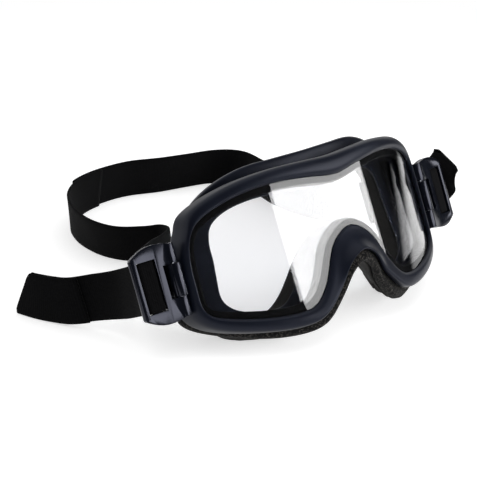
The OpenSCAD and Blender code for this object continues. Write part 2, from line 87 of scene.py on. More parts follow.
def add(tree: bpy.types.NodeTree, kind: str, **settings: object) -> bpy.types.Node:
    """Add one node with its settings and links.

    Args:
        tree: The node tree that gets the node.
        kind: The node's type name, such as "ShaderNodeBump".
        settings: Node properties by name, and input values or sockets by the input's
            name with underscores for spaces, or by "i0", "i1" for its place.

    Returns:
        The new node.
    """
    node = tree.nodes.new(kind)
    inputs: list[tuple[bpy.types.NodeSocket, object]] = []
    for name, value in settings.items():
        if hasattr(node, name) and not isinstance(value, bpy.types.NodeSocket):
            setattr(node, name, value)
        elif name[0] == "i" and name[1:].isdigit():
            inputs.append((node.inputs[int(name[1:])], value))
        else:
            inputs.append((node.inputs[name.replace("_", " ")], value))
    for socket, value in inputs:
        if isinstance(value, bpy.types.NodeSocket):
            tree.links.new(value, socket)
        else:
            socket.default_value = value
    return node


def ramp(tree: bpy.types.NodeTree, value: bpy.types.NodeSocket,
         stops: Sequence[tuple[float, str]]) -> bpy.types.NodeSocket:
    """Add a colour ramp.

    Args:
        tree: The node tree.
        value: The socket that drives the ramp.
        stops: Place and hex colour of each stop.

    Returns:
        The ramp's colour socket.
    """
    node = add(tree, "ShaderNodeValToRGB", Fac=value)
    points = node.color_ramp.elements
    while len(points) < len(stops):
        points.new(0.5)
    for point, (place, code) in zip(points, stops):
        point.position, point.color = place, linear(code)
    return node.outputs["Color"]


def blank(name: str) -> tuple[bpy.types.Material, bpy.types.NodeTree, bpy.types.Node]:
    """Start an empty material.

    Args:
        name: The material's name.

    Returns:
        The material, its tree and its output node.
    """
    material = bpy.data.materials.new(name)
    material.use_nodes = True
    tree = material.node_tree
    tree.nodes.clear()
    return material, tree, add(tree, "ShaderNodeOutputMaterial")


class Surface(Protocol):
    """What every finish can do."""

    def material(self) -> bpy.types.Material:
        """Build the finish's material."""


@dataclass(frozen=True)
class MouldedSurface:
    """A moulded plastic or rubber skin: one colour with a faint cast and a fine grain.

    The cast runs between the dark and the light colour in patches of cast_mm, and the
    roughness follows it by rough_spread each way. The gloss tints the highlights.
    """

    name: str
    dark: str
    light: str
    roughness: float
    grain_mm: float
    grain: float
    rough_spread: float = 0.06
    specular: float = 0.5
    gloss: str = "#ffffff"
    cast_mm: float = 26.0
    grain_depth_mm: float = 0.05
    ior: float = 1.5

    def material(self) -> bpy.types.Material:
        """Build the finish on Object coordinates, which are metres here.

        Returns:
            The material.
        """
        material, tree, out = blank(self.name)
        place = add(tree, "ShaderNodeTexCoord").outputs["Object"]
        cast = add(tree, "ShaderNodeTexNoise", Vector=place, Scale=noise_scale(self.cast_mm),
                   Detail=3.0)
        colour = ramp(tree, cast.outputs["Fac"], [(0.3, self.dark), (0.7, self.light)])
        spread = add(tree, "ShaderNodeMapRange", Value=cast.outputs["Fac"], From_Min=0.3,
                     From_Max=0.7, To_Min=self.roughness - self.rough_spread,
                     To_Max=self.roughness + self.rough_spread)
        grain = add(tree, "ShaderNodeTexNoise", Vector=place, Scale=noise_scale(self.grain_mm),
                    Detail=2.0)
        bump = add(tree, "ShaderNodeBump", Height=grain.outputs["Fac"], Strength=self.grain,
                   Distance=self.grain_depth_mm * MM)
        moulded = add(tree, "ShaderNodeBsdfPrincipled", Base_Color=colour,
                      Roughness=spread.outputs["Result"], IOR=self.ior,
                      Specular_IOR_Level=self.specular, Specular_Tint=linear(self.gloss),
                      Normal=bump.outputs["Normal"])
        tree.links.new(moulded.outputs["BSDF"], out.inputs["Surface"])
        return material


@dataclass(frozen=True)
class ClearPolycarbonate:
    """Moulded clear polycarbonate with a hard coat: sharp reflections, a trace of haze.

    The tint colours what is seen through it, and the shade the light that it lets pass.
    """

    name: str = "clear_polycarbonate"
    tint: str = "#fdfdfe"
    shade: str = "#f2f5f7"
    ior: float = 1.586
    specular: float = 0.5
    haze: float = 0.006
    haze_mm: float = 34.0

    def material(self) -> bpy.types.Material:
        """Build the sheet, which lets light through to what it covers.

        Returns:
            The material.
        """
        material, tree, out = blank(self.name)
        place = add(tree, "ShaderNodeTexCoord").outputs["Object"]
        veil = add(tree, "ShaderNodeTexNoise", Vector=place, Scale=noise_scale(self.haze_mm),
                   Detail=2.0)
        rough = add(tree, "ShaderNodeMapRange", Value=veil.outputs["Fac"], From_Min=0.45,
                    From_Max=0.75, To_Min=0.0, To_Max=self.haze)
        sheet = add(tree, "ShaderNodeBsdfPrincipled", Base_Color=linear(self.tint),
                    Roughness=rough.outputs["Result"], IOR=self.ior,
                    Specular_IOR_Level=self.specular, Transmission_Weight=1.0)
        through = add(tree, "ShaderNodeBsdfTransparent", Color=linear(self.shade))
        light = add(tree, "ShaderNodeLightPath")
        seen = add(tree, "ShaderNodeMixShader", Fac=light.outputs["Is Shadow Ray"],
                   i1=sheet.outputs["BSDF"], i2=through.outputs["BSDF"])
        tree.links.new(seen.outputs["Shader"], out.inputs["Surface"])
        return material


@dataclass(frozen=True)
class CellFoam:
    """Polyurethane foam with painted light: some cells get a painted highlight on their walls.

    The share is the part of the cells that keep a painted shade, as dark as a hole.
    """

    name: str
    hole: str
    wall: str
    cell_mm: float
    depth_mm: float
    share: float
    roughness: float = 0.85
    specular: float = 0.25

    def material(self) -> bpy.types.Material:
        """Build the cells, drawn a little coarser than real so that they show.

        Returns:
            The material.
        """
        material, tree, out = blank(self.name)
        place = add(tree, "ShaderNodeTexCoord").outputs["Object"]
        cells = add(tree, "ShaderNodeTexVoronoi", Vector=place, Scale=noise_scale(self.cell_mm),
                    feature="F1")
        lit = add(tree, "ShaderNodeSeparateColor", Color=cells.outputs["Color"])
        # Painted light: the hole colour is a painted shade and the wall colour a painted
        # highlight
        colour = ramp(tree, lit.outputs["Red"],
                      [(0.0, self.hole), (self.share, self.hole), (1.0, self.wall)])
        bump = add(tree, "ShaderNodeBump", Height=cells.outputs["Distance"], Strength=1.0,
                   Distance=self.depth_mm * MM)
        foam = add(tree, "ShaderNodeBsdfPrincipled", Base_Color=colour,
                   Roughness=self.roughness, Specular_IOR_Level=self.specular,
                   Normal=bump.outputs["Normal"])
        tree.links.new(foam.outputs["BSDF"], out.inputs["Surface"])
        return material


@dataclass(frozen=True)
class BrushedFacing:
    """Brushed knitted nylon laminated on foam: short matted fibres, no visible thread."""

    name: str = "brushed_knit_facing"
    dark: str = "#1d1917"
    light: str = "#332d29"
    nap_mm: float = 0.5
    depth_mm: float = 0.15

    def material(self) -> bpy.types.Material:
        """Build the nap.

        Returns:
            The material.
        """
        material, tree, out = blank(self.name)
        place = add(tree, "ShaderNodeTexCoord").outputs["Object"]
        nap = add(tree, "ShaderNodeTexNoise", Vector=place, Scale=noise_scale(self.nap_mm),
                  Detail=4.0, Roughness=0.7)
        colour = ramp(tree, nap.outputs["Fac"], [(0.35, self.dark), (0.68, self.light)])
        bump = add(tree, "ShaderNodeBump", Height=nap.outputs["Fac"], Strength=0.6,
                   Distance=self.depth_mm * MM)
        cloth = add(tree, "ShaderNodeBsdfPrincipled", Base_Color=colour, Roughness=0.9,
                    Sheen_Weight=0.25, Sheen_Roughness=0.5, Normal=bump.outputs["Normal"])
        tree.links.new(cloth.outputs["BSDF"], out.inputs["Surface"])
        return material


@dataclass(frozen=True)
class ElasticWebbing:
    """Woven elastic: polyester ribs across the width, on rubber threads along it."""

    name: str = "elastic_webbing"
    # Painted shade for the valleys of the weave, and the ribs' own colour
    valley_shade: str = "#010102"
    rib: str = "#09090b"
    rib_mm: float = 0.9
    thread_mm: float = 0.55
    fuzz_mm: float = 1.6
    depth_mm: float = 0.12

    def material(self) -> bpy.types.Material:
        """Build the weave on the strap's own UV map, which is in metres along and across.

        Returns:
            The material.
        """
        material, tree, out = blank(self.name)
        where = add(tree, "ShaderNodeUVMap", uv_map="UVMap").outputs["UV"]
        ribs = add(tree, "ShaderNodeTexWave", Vector=where, wave_type="BANDS",
                   bands_direction="X", Scale=wave_scale(self.rib_mm), Distortion=0.6,
                   Detail=1.0, Detail_Scale=2.0)
        threads = add(tree, "ShaderNodeTexWave", Vector=where, wave_type="BANDS",
                      bands_direction="Y", Scale=wave_scale(self.thread_mm))
        weave = add(tree, "ShaderNodeMath", operation="MULTIPLY", i0=ribs.outputs["Fac"],
                    i1=threads.outputs["Fac"])
        fuzz = add(tree, "ShaderNodeTexNoise", Vector=where, Scale=noise_scale(self.fuzz_mm),
                   Detail=4.0)
        both = add(tree, "ShaderNodeMath", operation="ADD", i0=weave.outputs["Value"],
                   i1=fuzz.outputs["Fac"])
        # The valleys of the weave get a painted shade; the fuzz adds a random tone
        colour = ramp(tree, both.outputs["Value"], [(0.45, self.valley_shade), (1.0, self.rib)])
        bump = add(tree, "ShaderNodeBump", Height=weave.outputs["Value"], Strength=0.7,
                   Distance=self.depth_mm * MM)
        cloth = add(tree, "ShaderNodeBsdfPrincipled", Base_Color=colour, Roughness=0.95,
                    Specular_IOR_Level=0.08, Sheen_Weight=0.02, Sheen_Roughness=0.6,
                    Normal=bump.outputs["Normal"])
        tree.links.new(cloth.outputs["BSDF"], out.inputs["Surface"])
        return material


@dataclass(frozen=True)
class DrawnWire:
    """Cold drawn stainless wire: bright, with fine patches that are a little duller."""

    name: str = "drawn_stainless_wire"
    colour: str = "#b9bcc2"
    mark_mm: float = 0.3
    roughness: tuple[float, float] = (0.2, 0.42)

    def material(self) -> bpy.types.Material:
        """Build the metal.

        Returns:
            The material.
        """
        material, tree, out = blank(self.name)
        place = add(tree, "ShaderNodeTexCoord").outputs["Object"]
        marks = add(tree, "ShaderNodeTexNoise", Vector=place, Scale=noise_scale(self.mark_mm),
                    Detail=2.0)
        rough = add(tree, "ShaderNodeMapRange", Value=marks.outputs["Fac"],
                    To_Min=self.roughness[0], To_Max=self.roughness[1])
        metal = add(tree, "ShaderNodeBsdfPrincipled", Base_Color=linear(self.colour),
                    Metallic=1.0, Roughness=rough.outputs["Result"])
        tree.links.new(metal.outputs["BSDF"], out.inputs["Surface"])
        return material


class Finish(Enum):
    """The finishes of the goggles, each by its record slot and what sets it apart there."""

    FRAME = "frame_tpu"
    NYLON = "nylon"
    LENS = "lens_clear"
    COATED = "lens_clear coated"
    SPACER = "spacer_foam"
    FILTER = "filter_foam"
    FOAM = "face_foam"
    LINING = "lining_fabric"
    PIN = "pin_steel"
    STRAP = "strap_elastic"

    @property
    def slot(self) -> str:
        """The name of its material slot in the record."""
        return self.value.split()[0]


MAKERS: dict[Finish, Surface] = {
    # Soft satin rubber: near black with a navy cast, and broad soft highlights on the rim
    Finish.FRAME: MouldedSurface("moulded_tpu", "#0c0f19", "#131722", 0.38, 0.35, 0.25,
                                 specular=0.24, gloss="#e4e8fb"),
    # Harder and glossier than the frame: dark faces with narrow bright lines on the edges
    Finish.NYLON: MouldedSurface("moulded_nylon", "#090b12", "#0e1118", 0.17, 0.25, 0.15,
                                 rough_spread=0.04, specular=0.38, gloss="#e6e9ff"),
    # Clear double window: sharp softbox reflections over what lies behind it
    Finish.LENS: ClearPolycarbonate(),
    # Fog-free inner window: its coating takes most of the reflection away
    Finish.COATED: ClearPolycarbonate("fog_free_polycarbonate", specular=0.04),
    # Dead black band that frames the window
    Finish.SPACER: MouldedSurface("butyl_gasket", "#030304", "#060608", 0.7, 0.5, 0.4,
                                  specular=0.1),
    # Black foam with a painted speckle of lit cells, which sets the vents off from the smooth rim
    Finish.FILTER: CellFoam("open_cell_filter_foam", "#040405", "#504d49", 0.5, 0.45, 0.62),
    # Matt black-brown sides of the pad, almost smooth, with a faint painted speckle of lit cells
    Finish.FOAM: CellFoam("closed_cell_face_foam", "#171615", "#272421", 0.45, 0.1, 0.4),
    # Soft dull cloth on the side that touches the face
    Finish.LINING: BrushedFacing(),
    # Small bright metal ends in the hinges
    Finish.PIN: DrawnWire(),
    # Deep black ribbed band that takes hardly any light
    Finish.STRAP: ElasticWebbing(),
}
made: dict[Finish, bpy.types.Material] = {}


def finish_of(finish: Finish) -> bpy.types.Material:
    """Return a finish's material, made the first time that it is asked for.

    Args:
        finish: The finish.

    Returns:
        Its material.
    """
    if finish not in made:
        made[finish] = MAKERS[finish].material()
    return made[finish]


# Shapes

Place = Callable[[np.ndarray], np.ndarray]
Point = tuple[float, float, float]


@dataclass(frozen=True)
class Stand:
    """How the goggles lean on the table, in millimetres and degrees."""

    # How far the goggles lean back, and the height of the lens middle
    lean: float = 24.5
    height: float = 54.0
    # What centres the part on the table
    mid: tuple[float, float] = (0.82, 100.31)

    def leaning(self, p: np.ndarray) -> np.ndarray:
        """Place points that are measured in the goggles' own frame.

        Args:
            p: The points in millimetres, one a row.

        Returns:
            The points in metres, standing as the goggles lean.
        """
        c, s = math.cos(math.radians(self.lean)), math.sin(math.radians(self.lean))
        x, y, z = np.asarray(p, float).reshape(-1, 3).T
        return np.stack([x - self.mid[0], y * c + z * s - self.mid[1],
                         z * c - y * s + self.height], 1) * MM

    def lying(self, p: np.ndarray) -> np.ndarray:
        """Place points measured in millimetres from the table, and return them in metres."""
        return (np.asarray(p, float).reshape(-1, 3) - [self.mid[0], self.mid[1], 0]) * MM


STAND = Stand()


def catmull(points: np.ndarray, steps: int, closed: bool) -> np.ndarray:
    """Sample a smooth curve through points.

    Args:
        points: The points, one a row, with any number of columns.
        steps: Samples in each span.
        closed: Whether the last point joins the first.

    Returns:
        The samples, one a row.
    """
    p = np.asarray(points, float)
    n = len(p)
    spans = n if closed else n - 1
    at = (lambda i: p[i % n]) if closed else (lambda i: p[min(max(i, 0), n - 1)])
    rows = []
    for i in range(spans):
        a, b, c, d = at(i - 1), at(i), at(i + 1), at(i + 2)
        for k in range(steps):
            t = k / steps
            rows.append(0.5 * (2 * b + (c - a) * t + (2 * a - 5 * b + 4 * c - d) * t * t
                               + (3 * b - a - 3 * c + d) * t ** 3))
    if not closed:
        rows.append(p[-1])
    return np.array(rows)


def rounded(rings: Sequence[np.ndarray], radii: Sequence[float]) -> np.ndarray:
    """Split each corner of a closed section in two, so that it rounds off.

    Args:
        rings: The section's corners as rows of points along the piece.
        radii: How far each corner is drawn apart, in millimetres.

    Returns:
        The rings, two for each corner that has a radius.
    """
    out, n = [], len(rings)
    for i, (ring, r) in enumerate(zip(rings, radii)):
        if r <= 0:
            out.append(ring)
            continue
        for other in (rings[i - 1], rings[(i + 1) % n]):
            gap = np.linalg.norm(other - ring, axis=1)[:, None]
            out.append(ring + (other - ring) * np.minimum(0.5, r / np.maximum(gap, 1e-6)))
    return np.array(out)


def skin(name: str, rings: np.ndarray, place: Place, *, wrap: bool = True,
         section: bool = True, levels: int = 0, flat: float | None = None) -> bpy.types.Object:
    """Wrap a grid round a lofted form.

    Args:
        name: The new object's name.
        rings: Points as [corner of the section, place along the piece, xyz], in millimetres.
        place: Turns those points to metres in the shared frame.
        wrap: Whether the piece closes on itself along its length.
        section: Whether the section closes on itself.
        levels: Levels of subdivision, applied to the mesh.
        flat: Height in metres below which the form is pressed flat.

    Returns:
        The object, at the origin, with smooth faces and a UV map in metres.
    """
    m, n = rings.shape[:2]
    grid_u, grid_v = (n if wrap else n - 1), (m if section else m - 1)
    world = place(rings.reshape(-1, 3)).reshape(m, n, 3)
    along = np.linalg.norm(np.diff(world[0], axis=0), axis=1).sum()
    around = np.linalg.norm(np.diff(world[:, 0], axis=0), axis=1).sum()
    bm = bmesh.new()
    layer = bm.loops.layers.uv.new("UVMap")
    bmesh.ops.create_grid(bm, x_segments=grid_u, y_segments=grid_v, size=0.5, calc_uvs=True)
    for face in bm.faces:
        for loop in face.loops:
            x, y = loop.vert.co.x + 0.5, loop.vert.co.y + 0.5
            loop[layer].uv = (x * along, y * around)
    for vert in bm.verts:
        i = round((vert.co.x + 0.5) * grid_u) % n
        j = round((vert.co.y + 0.5) * grid_v) % m
        vert.co = Vector(world[j, i])
    bmesh.ops.remove_doubles(bm, verts=bm.verts, dist=1e-7)
    if section and not wrap:
        rim = [e for e in bm.edges if e.is_boundary]
        bmesh.ops.holes_fill(bm, edges=rim, sides=0)
    bmesh.ops.recalc_face_normals(bm, faces=bm.faces)
    for face in bm.faces:
        face.smooth = True
    obj = new_object(name, bm)
    if levels:
        subdivide(obj, levels)
    if flat is not None:
        for vert in obj.data.vertices:
            vert.co.z = max(vert.co.z, flat)
    return obj


def new_object(name: str, bm: bmesh.types.BMesh) -> bpy.types.Object:
    """Put a finished bmesh in a new object at the origin.

    Args:
        name: The object's name.
        bm: The bmesh, which is freed.

    Returns:
        The object.
    """
    mesh = bpy.data.meshes.new(name)
    bm.to_mesh(mesh)
    bm.free()
    obj = bpy.data.objects.new(name, mesh)
    bpy.context.scene.collection.objects.link(obj)
    return obj


def settle(obj: bpy.types.Object) -> bpy.types.Object:
    """Apply an object's modifiers to its mesh.

    Args:
        obj: The object.

    Returns:
        The same object.
    """
    bpy.context.view_layer.update()
    graph = bpy.context.evaluated_depsgraph_get()
    mesh = bpy.data.meshes.new_from_object(obj.evaluated_get(graph))
    obj.modifiers.clear()
    obj.data = mesh
    return obj


def subdivide(obj: bpy.types.Object, levels: int) -> bpy.types.Object:
    """Smooth an object by subdivision and apply it.

    Args:
        obj: The object.
        levels: Levels of subdivision.

    Returns:
        The same object.
    """
    smooth = obj.modifiers.new("subdivision", "SUBSURF")
    smooth.levels = smooth.render_levels = levels
    return settle(obj)


def soften(obj: bpy.types.Object, width: float, segments: int = 3,
           angle: float = 32.0) -> bpy.types.Object:
    """Round an object's sharp edges and smooth its faces.

    Args:
        obj: The object.
        width: Width of the rounding in millimetres.
        segments: Steps in the rounding.
        angle: Edges sharper than this, in degrees, are rounded.

    Returns:
        The same object.
    """
    bevel = obj.modifiers.new("bevel", "BEVEL")
    bevel.width, bevel.segments = width * MM, segments
    bevel.limit_method, bevel.angle_limit = "ANGLE", math.radians(angle)
    settle(obj)
    bm = bmesh.new()
    bm.from_mesh(obj.data)
    for face in bm.faces:
        face.smooth = True
    for edge in bm.edges:
        if len(edge.link_faces) == 2 and edge.calc_face_angle(0) > math.radians(angle):
            edge.smooth = False
    bm.to_mesh(obj.data)
    bm.free()
    return obj


def from_node(node: str, name: str) -> bpy.types.Object:
    """Copy a CAD node's mesh, merged and cleared of its flat triangles.

    Args:
        node: The CAD node's name.
        name: The new object's name.

    Returns:
        The copy.
    """
    bm = bmesh.new()
    bm.from_mesh(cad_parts[node].data)
    bmesh.ops.remove_doubles(bm, verts=bm.verts, dist=2e-6)
    bmesh.ops.dissolve_limit(bm, angle_limit=math.radians(0.6), verts=bm.verts, edges=bm.edges)
    return new_object(name, bm)


def dress(obj: bpy.types.Object, finish: Finish, body: str | tuple,
          nodes: Sequence[str]) -> bpy.types.Object:
    """Give a piece its finish and its body, and hide the CAD nodes that it stands for.

    A tuple in place of a body's name gives the piece no body, and bakes its place into its mesh.

    Args:
        obj: The piece.
        finish: Its finish.
        nodes: The CAD nodes that it replaces.

    Returns:
        The piece.
    """
    obj.data.materials.clear()
    obj.data.materials.append(finish_of(finish))
    if isinstance(body, str):
        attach(obj, body)
    else:
        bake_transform(obj)
    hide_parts(*nodes)
    log.info("%s: %d faces, %s", obj.name, len(obj.data.polygons), finish.name.lower())
    return obj


# Goggles

@dataclass
class Outline:
    """Half outlines of the frame at sixteen stations from the brow to the nose, in mm.

    The lens opening reaches half_w to the side, top above and low below the middle of the
    lens, and dips between the brows. The flange stands brow above the rim, and the filter
    strip shows under the rim. The weights say how much a station belongs to the lower
    edge, to the nose, to its flared lip, and to the stretch where the foam wraps the
    flange.
    """

    # Size of the lens opening
    half_w: float = 78.0
    top: float = 30.2
    dip: float = 4.5
    low: float = 34.0
    # What shows of the flange above the rim, and of the filter under it
    brow: float = 5.3
    show: float = 4.4
    # Samples between two stations
    steps: int = 4
    # Weights of the stations, from the brow to the nose
    low_w: tuple[float, ...] = (0, 0, 0, 0, 0, 0, 0.15, 0.4, 0.75, 1, 1, 1, 1, 1, 1, 1)
    nose_w: tuple[float, ...] = (*[0] * 11, 0.08, 0.37, 0.6, 0.88, 1)
    lip_w: tuple[float, ...] = (*[0] * 11, 0.05, 0.22, 0.32, 0.78, 1)
    wrap_w: tuple[float, ...] = (*[0] * 10, *[1] * 6)
    shapes: dict[str, np.ndarray] = field(default_factory=dict)

    def __post_init__(self) -> None:
        """Write the outlines out from the main sizes."""
        w, t, b, lo, fs = self.half_w, self.top, self.brow, self.low, self.show
        self.shapes["opening"] = np.array([
            (0, t - self.dip), (0.224 * w, t - 0.42 * self.dip), (0.468 * w, t),
            (0.699 * w, t - 1.5), (w - 8.5, t - 7), (w - 2.2, t - 14.7), (w - 0.2, 5),
            (w + 0.2, -8), (w - 0.6, 13.5 - lo), (w - 7.5, 7.5 - lo), (w - 25.7, 1.8 - lo),
            (36, -lo), (27.5, 3 - lo), (20.3, -21.8), (12.5, -7.2), (0, -0.3)])
        self.shapes["rim"] = rim = np.array([
            (0, t + 5.8), (0.224 * w, t + 6.6), (0.474 * w, t + 7.1), (0.724 * w, t + 4.9),
            (w - 5.4, t - 1.8), (w - 0.9, t - 10.8), (w + 3.3, 6.2), (w + 4, -9),
            (w + 3.8, 11.7 - lo), (w - 4, 2.4 - lo), (w - 22, -4.4 - lo), (38.5, -7.4 - lo),
            (27, -5.2 - lo), (15.6, -29), (8.6, -18.4), (0, -13.8)])
        self.shapes["flange"] = flange = np.array([
            (0, t + 5.8 + b), (0.23 * w, t + 6 + b), (0.474 * w, t + 5.8 + b),
            (0.692 * w, t + 0.8 + b), (w - 12.5, t - 2.6), (w - 5.6, t - 13), (w - 1.6, 6),
            (w - 0.5, -8), (w - 0.6, 12.4 - lo), (w - 7.4, 3.4 - lo), (w - 23.5, -3.5 - lo),
            (38, -6.2 - lo), (27.5, -3.6 - lo), (16.5, -29), (9, -18.6), (0, -14.4)])
        self.shapes["eye"] = np.array([
            (0, t - 8.6), (17, t - 6.4), (34, t - 5.6), (w - 31, t - 7.4), (w - 22.6, t - 12.2),
            (w - 19.8, 10), (w - 19.3, 1), (w - 18.2, -8), (w - 17.4, 15.4 - lo),
            (w - 22, 8.4 - lo), (w - 32.5, 4.2 - lo), (36, 3.9 - lo), (31, 8.8 - lo),
            (25.5, -16.5), (16.5, -2.6), (0, 4)])
        self.shapes["filter"] = strip = np.vstack([rim[:8], [
            (w + 3.4, 11.4 - lo), (w - 3.3, 2.7 - lo), (w - 22.3, 2 - lo - 2 * fs),
            (38, -lo - 2.6 * fs), (24, -lo - 2.3 * fs), (12.6, -28.4 - fs), (7.2, -19.4 - fs),
            (0, -14.8 - fs)]])
        front = np.vstack([self.grow(flange, -0.8)[:9], self.grow(flange, 1.4)[9],
                           self.grow(strip, -0.8)[10:]])
        self.shapes["foam_front"] = front
        self.shapes["foam_step"] = np.vstack([self.grow(front, -1.4)[:10],
                                              self.grow(flange, 0.5)[10:]])
        self.shapes["foam_back"] = np.vstack([
            *[self.grow(flange, -2.4 - i)[i] for i in range(3)], self.grow(flange, -5.4)[3:9],
            (w - 10.5, 4.6 - lo), (w - 22, -7.6 - lo), (40, -9.6 - lo), (34.5, -5 - lo),
            (22.5, -28), (12.8, -16.2), (0, -11.6)])

    @staticmethod
    def grow(half: np.ndarray, g: float) -> np.ndarray:
        """Move a half outline outwards.

        Args:
            half: The half outline.
            g: How far, in millimetres.

        Returns:
            The moved half outline.
        """
        whole = np.vstack([half, half[-2:0:-1] * [-1, 1]])
        t = np.roll(whole, -1, 0) - np.roll(whole, 1, 0)
        out = np.stack([-t[:, 1], t[:, 0]], 1) / np.linalg.norm(t, axis=1)[:, None]
        return (whole + g * out)[:len(half)]

    def get(self, name: str, g: float = 0.0) -> np.ndarray:
        """Return a named half outline, grown by g millimetres."""
        half = self.shapes[name]
        return self.grow(half, g) if g else half

    def around(self, half: np.ndarray) -> np.ndarray:
        """Close a half outline and sample it.

        Args:
            half: The half outline.

        Returns:
            Smooth samples of x, z and the four weights, all round.
        """
        rows = np.column_stack([half, self.low_w, self.nose_w, self.lip_w, self.wrap_w])
        whole = np.vstack([rows, rows[-2:0:-1] * [-1, 1, 1, 1, 1, 1]])
        return catmull(whole, self.steps, closed=True)


@dataclass
class Goggles:
    """Soft frame, double lens, vent filters and face foam, in millimetres.

    Depths are measured backwards from the lens front, which is wrapped to lens_r.
    """

    outline: Outline = field(default_factory=Outline)
    # Radius of the wrapped lens, and the two sheets with the gap between them
    lens_r: float = 115.3
    lens_t: float = 2.0
    inner_t: float = 1.2
    gap: float = 3.4
    # How far the rim stands before the lens, and its lip over the nose
    rim_proud: float = 2.5
    lip: float = 8.0
    # Depth of the rim's back, and the groove behind it
    rim_d: float = 8.6
    groove: float = 3.3
    groove_len: float = 8.8
    # Thickness of the flange above and below, and of the web to the eye
    flange_t: float = 5.6
    low_flange_t: float = 2.0
    web: float = 1.8
    # Depth of the face at the middle, its radius and the relief at the nose
    face_d: float = 36.0
    face_r: float = 130.0
    relief: float = 14.0
    # Thickness of the cloth on the foam
    facing: float = 0.9
    # How far the lens reaches under the rim, and the width of the gasket
    margin: float = 1.7
    spacer_w: float = 5.6
    # How far the gasket is sunk into the lens, and the clearances
    glued: float = 0.15
    fit: float = 0.15
    seat: float = 0.3
    # Vent slots: size, rounding, spacing and where the lower ones start
    vent: Point = (9.0, 3.4, 9.0)
    vent_round: float = 0.7
    vent_pitch: int = 15
    low_vent_x: int = 44
    low_vent_rise: float = 3.4
    low_vent_turn: float = 14.0
    # Filter strips, by the outline's stations that they reach to
    brow_strip: float = 3.6
    low_strip: tuple[int, int] = (8, 22)
    # Columns and rows of a lens sheet, and its height at the far ends
    lens_grid: tuple[int, int] = (120, 20)
    tip: float = 0.01
    body: str = "goggles"

    def __post_init__(self) -> None:
        """Work out the depths that several pieces share.

        The negative ones say how far a ring comes forward over the nose.
        """
        self.flange_d = self.rim_d + self.groove_len
        self.foam_d = self.flange_d + self.flange_t + self.seat
        self.lens_back = self.lens_t + self.gap + self.inner_t
        self.thinner = self.low_flange_t - self.flange_t
        self.lip_back = -self.lip - 5.3
        self.groove_front = -self.lip - 3.2
        self.flange_shift = -self.lip - 8.2
        self.strip_front = -self.lip - 6.9
        self.strip_back = -self.lip - 9.7
        self.web_shift = -8.0

    def lens_y(self, x: np.ndarray, d: np.ndarray) -> np.ndarray:
        """Return the depth at x of a surface that lies d behind the wrapped lens front."""
        return self.lens_r - np.sqrt((self.lens_r - d) ** 2 - x * x)

    def deep(self, x: np.ndarray, d: np.ndarray) -> np.ndarray:
        """Blend from the lens curve to the flatter curve of the face.

        Args:
            x: Distances from the middle.
            d: Depths behind the lens front, as at the middle.

        Returns:
            The depths at those distances.
        """
        back = self.lens_back
        face = self.face_d + self.face_r - np.sqrt(self.face_r ** 2 - x * x)
        start = self.lens_y(x, np.full_like(x, back))
        deep = start + (d - back) / (self.face_d - back) * (face - start)
        return np.where(d <= back, self.lens_y(x, np.minimum(d, back)), deep)

    def rail(self, half: np.ndarray, d: float, low: float = 0.0, nose: float = 0.0,
             lip: float = 0.0, wrap: float = 0.0) -> np.ndarray:
        """Return one corner of a section as points round the frame.

        Args:
            half: The half outline that it follows.
            d: Its depth behind the lens front.
            low: How much deeper it lies along the lower edge.
            nose: How much deeper it lies over the nose.
            lip: How much deeper it lies at the flared lip.
            wrap: How much deeper it lies where the foam wraps the flange.

        Returns:
            The points, one a row.
        """
        p = self.outline.around(half)
        depth = d + p[:, 2:] @ np.array([low, nose, lip, wrap])
        return np.stack([p[:, 0], self.deep(p[:, 0], depth), p[:, 1]], 1)

    def shell(self) -> bpy.types.Object:
        """Build the soft frame with its rim, groove, flange and vent slots.

        Returns:
            The frame.
        """
        o, proud, lip = self.outline, self.rim_proud, self.lip
        opening, rim = o.get("opening"), o.get("rim")
        groove, wall = o.get("rim", -self.groove), o.get("opening", -1.2)
        pocket = o.get("opening", self.margin + self.fit)
        back, low = self.flange_d + self.flange_t, self.thinner
        ledge = self.lens_back + self.fit

        def between(t: float) -> np.ndarray:
            """Return the outline at a share t of the way from the opening to the rim."""
            return opening * (1 - t) + rim * t

        # Corners of the section, out over the rim, back to the web and in to the lens
        # pocket, each with its rounding
        rows = [
            (self.rail(opening, -0.9), 0.5),
            (self.rail(between(0.14), 0.5 - proud, lip=0.1 * lip), 0.0),
            (self.rail(between(0.28), -proud, lip=0.09 * lip), 0.0),
            (self.rail(between(0.55), 0.05 - proud, lip=-0.08 * lip), 0.0),
            (self.rail(between(0.8), 0.5 - proud, lip=-0.48 * lip), 0.0),
            (self.rail(between(0.94), 1.7 - proud, lip=-0.88 * lip), 0.0),
            (self.rail(rim, 1, lip=-lip), 0.7),
            (self.rail(rim, self.rim_d - 0.5, nose=self.lip_back), 0.6),
            (self.rail(groove, self.rim_d, nose=self.groove_front), 0.5),
            (self.rail(groove, self.flange_d, nose=self.flange_shift), 0.5),
            (self.rail(o.get("flange"), self.flange_d + 0.3, nose=self.flange_shift), 0.7),
            (self.rail(o.get("flange"), back - 1.5, low + 1, self.flange_shift), 0.4),
            (self.rail(o.get("flange", -1.3), back, low, self.flange_shift), 0.4),
            (self.rail(o.get("eye"), back, low, self.web_shift), 0.5),
            (self.rail(o.get("eye"), back - self.web, low, self.web_shift), 0.5),
            (self.rail(wall, back - self.web - 1.4, low, self.web_shift), 1.0),
            (self.rail(wall, ledge), 0.3),
            (self.rail(pocket, ledge), 0.2),
            (self.rail(pocket, -self.fit), 0.2),
            (self.rail(opening, -self.fit), 0.2)]
        rings = rounded([r for r, _ in rows], [r for _, r in rows])
        obj = skin("soft_frame", rings, STAND.leaning, levels=2)
        self.cut_vents(obj)
        return dress(obj, Finish.FRAME, self.body, ["frame_shell"])

